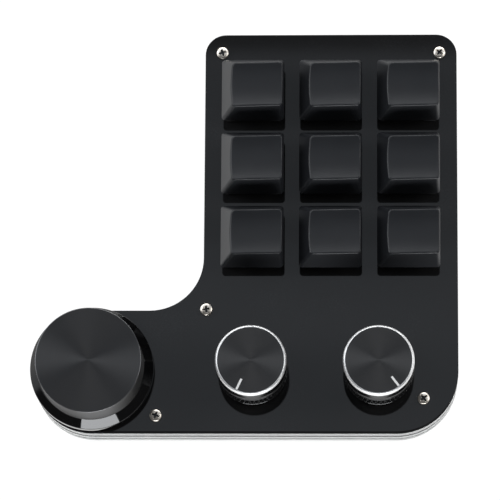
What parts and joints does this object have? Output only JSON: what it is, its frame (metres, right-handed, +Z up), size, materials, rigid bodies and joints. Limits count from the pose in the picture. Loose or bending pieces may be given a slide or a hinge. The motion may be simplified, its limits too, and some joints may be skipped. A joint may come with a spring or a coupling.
{
  "type": "macro keypad",
  "caption": "Desk keypad with a grid of sprung keys and push-and-turn knobs on an L-shaped stack of black and clear acrylic plates.",
  "frame": {"origin": "centre of the footprint's box, on the surface that the feet stand on", "axes": "+X along the front edge to the right, +Y to the back edge, +Z up through the keys"},
  "size_m": [0.1226, 0.1176, 0.035],
  "materials": {
    "black_acrylic": "polished black acrylic sheet",
    "clear_acrylic": "clear acrylic sheet with polished edges",
    "brass": "plain brass",
    "nickel": "bright nickel plate",
    "foot_rubber": "soft matt rubber",
    "board_laminate": "black solder mask",
    "chip_resin": "moulded black resin",
    "switch_plastic": "moulded black plastic",
    "wheel_plastic": "natural moulded plastic",
    "shaft_metal": "turned bare metal",
    "screw_steel": "blackened steel",
    "knob_aluminium": "turned, black anodised, with a bright cut rim",
    "jog_aluminium": "turned, black anodised, with polished sides",
    "white_inlay": "white paint fill",
    "cap_plastic": "fine matt moulded plastic",
    "stem_plastic": "moulded red plastic",
    "spring_steel": "bright spring wire"
  },
  "bodies": {
    "case": {"top_plate": "black_acrylic", "upper_spacer": "clear_acrylic", "lower_spacer": "clear_acrylic", "base_plate": "clear_acrylic", "standoffs": "brass", "top_screws": "nickel", "base_screws": "nickel", "feet": "foot_rubber", "circuit_board": "board_laminate", "controller_chip": "chip_resin", "diodes": "chip_resin", "usb_shell": "nickel", "usb_tongue": "chip_resin", "switch_lower_housings": "switch_plastic", "switch_upper_housings": "switch_plastic", "switch_contacts": "brass", "encoder_bases": "switch_plastic", "encoder_covers": "nickel", "encoder_pins": "nickel", "spring_r1c1": "spring_steel", "spring_r1c2": "spring_steel", "spring_r1c3": "spring_steel", "spring_r2c1": "spring_steel", "spring_r2c2": "spring_steel", "spring_r2c3": "spring_steel", "spring_r3c1": "spring_steel", "spring_r3c2": "spring_steel", "spring_r3c3": "spring_steel"},
    "key_r1c1": {"keycap_r1c1": "cap_plastic", "stem_r1c1": "stem_plastic"},
    "key_r1c2": {"keycap_r1c2": "cap_plastic", "stem_r1c2": "stem_plastic"},
    "key_r1c3": {"keycap_r1c3": "cap_plastic", "stem_r1c3": "stem_plastic"},
    "key_r2c1": {"keycap_r2c1": "cap_plastic", "stem_r2c1": "stem_plastic"},
    "key_r2c2": {"keycap_r2c2": "cap_plastic", "stem_r2c2": "stem_plastic"},
    "key_r2c3": {"keycap_r2c3": "cap_plastic", "stem_r2c3": "stem_plastic"},
    "key_r3c1": {"keycap_r3c1": "cap_plastic", "stem_r3c1": "stem_plastic"},
    "key_r3c2": {"keycap_r3c2": "cap_plastic", "stem_r3c2": "stem_plastic"},
    "key_r3c3": {"keycap_r3c3": "cap_plastic", "stem_r3c3": "stem_plastic"},
    "jog_rotor": {"jog_code_wheel": "wheel_plastic"},
    "jog_push": {"jog_shaft": "shaft_metal", "jog_knob": "jog_aluminium", "jog_set_screw": "screw_steel"},
    "left_rotor": {"left_code_wheel": "wheel_plastic"},
    "left_push": {"left_shaft": "shaft_metal", "left_knob": "knob_aluminium", "left_knob_bush": "switch_plastic", "left_pointer": "white_inlay"},
    "right_rotor": {"right_code_wheel": "wheel_plastic"},
    "right_push": {"right_shaft": "shaft_metal", "right_knob": "knob_aluminium", "right_knob_bush": "switch_plastic", "right_pointer": "white_inlay"}
  },
  "joints": [
    {"name": "key_r1c1_press", "type": "slide", "parent": "case", "child": "key_r1c1", "axis": [0, 0, -1], "range_m": [0, 0.004], "stiffness_N_per_m": 75, "springref_m": -0.004, "deforming": ["spring_r1c1"]},
    {"name": "key_r1c2_press", "type": "slide", "parent": "case", "child": "key_r1c2", "axis": [0, 0, -1], "range_m": [0, 0.004], "stiffness_N_per_m": 75, "springref_m": -0.004, "deforming": ["spring_r1c2"]},
    {"name": "key_r1c3_press", "type": "slide", "parent": "case", "child": "key_r1c3", "axis": [0, 0, -1], "range_m": [0, 0.004], "stiffness_N_per_m": 75, "springref_m": -0.004, "deforming": ["spring_r1c3"]},
    {"name": "key_r2c1_press", "type": "slide", "parent": "case", "child": "key_r2c1", "axis": [0, 0, -1], "range_m": [0, 0.004], "stiffness_N_per_m": 75, "springref_m": -0.004, "deforming": ["spring_r2c1"]},
    {"name": "key_r2c2_press", "type": "slide", "parent": "case", "child": "key_r2c2", "axis": [0, 0, -1], "range_m": [0, 0.004], "stiffness_N_per_m": 75, "springref_m": -0.004, "deforming": ["spring_r2c2"]},
    {"name": "key_r2c3_press", "type": "slide", "parent": "case", "child": "key_r2c3", "axis": [0, 0, -1], "range_m": [0, 0.004], "stiffness_N_per_m": 75, "springref_m": -0.004, "deforming": ["spring_r2c3"]},
    {"name": "key_r3c1_press", "type": "slide", "parent": "case", "child": "key_r3c1", "axis": [0, 0, -1], "range_m": [0, 0.004], "stiffness_N_per_m": 75, "springref_m": -0.004, "deforming": ["spring_r3c1"]},
    {"name": "key_r3c2_press", "type": "slide", "parent": "case", "child": "key_r3c2", "axis": [0, 0, -1], "range_m": [0, 0.004], "stiffness_N_per_m": 75, "springref_m": -0.004, "deforming": ["spring_r3c2"]},
    {"name": "key_r3c3_press", "type": "slide", "parent": "case", "child": "key_r3c3", "axis": [0, 0, -1], "range_m": [0, 0.004], "stiffness_N_per_m": 75, "springref_m": -0.004, "deforming": ["spring_r3c3"]},
    {"name": "jog_turn", "type": "hinge", "parent": "case", "child": "jog_rotor", "pos_m": [-0.0436, -0.0411, 0.017], "axis": [0, 0, 1], "continuous": true},
    {"name": "jog_press", "type": "slide", "parent": "jog_rotor", "child": "jog_push", "axis": [0, 0, -1], "range_m": [0, 0.0005], "stiffness_N_per_m": 1500, "springref_m": -0.0013},
    {"name": "left_turn", "type": "hinge", "parent": "case", "child": "left_rotor", "pos_m": [0.00235, -0.0411, 0.017], "axis": [0, 0, 1], "continuous": true},
    {"name": "left_press", "type": "slide", "parent": "left_rotor", "child": "left_push", "axis": [0, 0, -1], "range_m": [0, 0.0005], "stiffness_N_per_m": 1500, "springref_m": -0.0013},
    {"name": "right_turn", "type": "hinge", "parent": "case", "child": "right_rotor", "pos_m": [0.03845, -0.0411, 0.017], "axis": [0, 0, 1], "continuous": true},
    {"name": "right_press", "type": "slide", "parent": "right_rotor", "child": "right_push", "axis": [0, 0, -1], "range_m": [0, 0.0005], "stiffness_N_per_m": 1500, "springref_m": -0.0013}
  ]
}
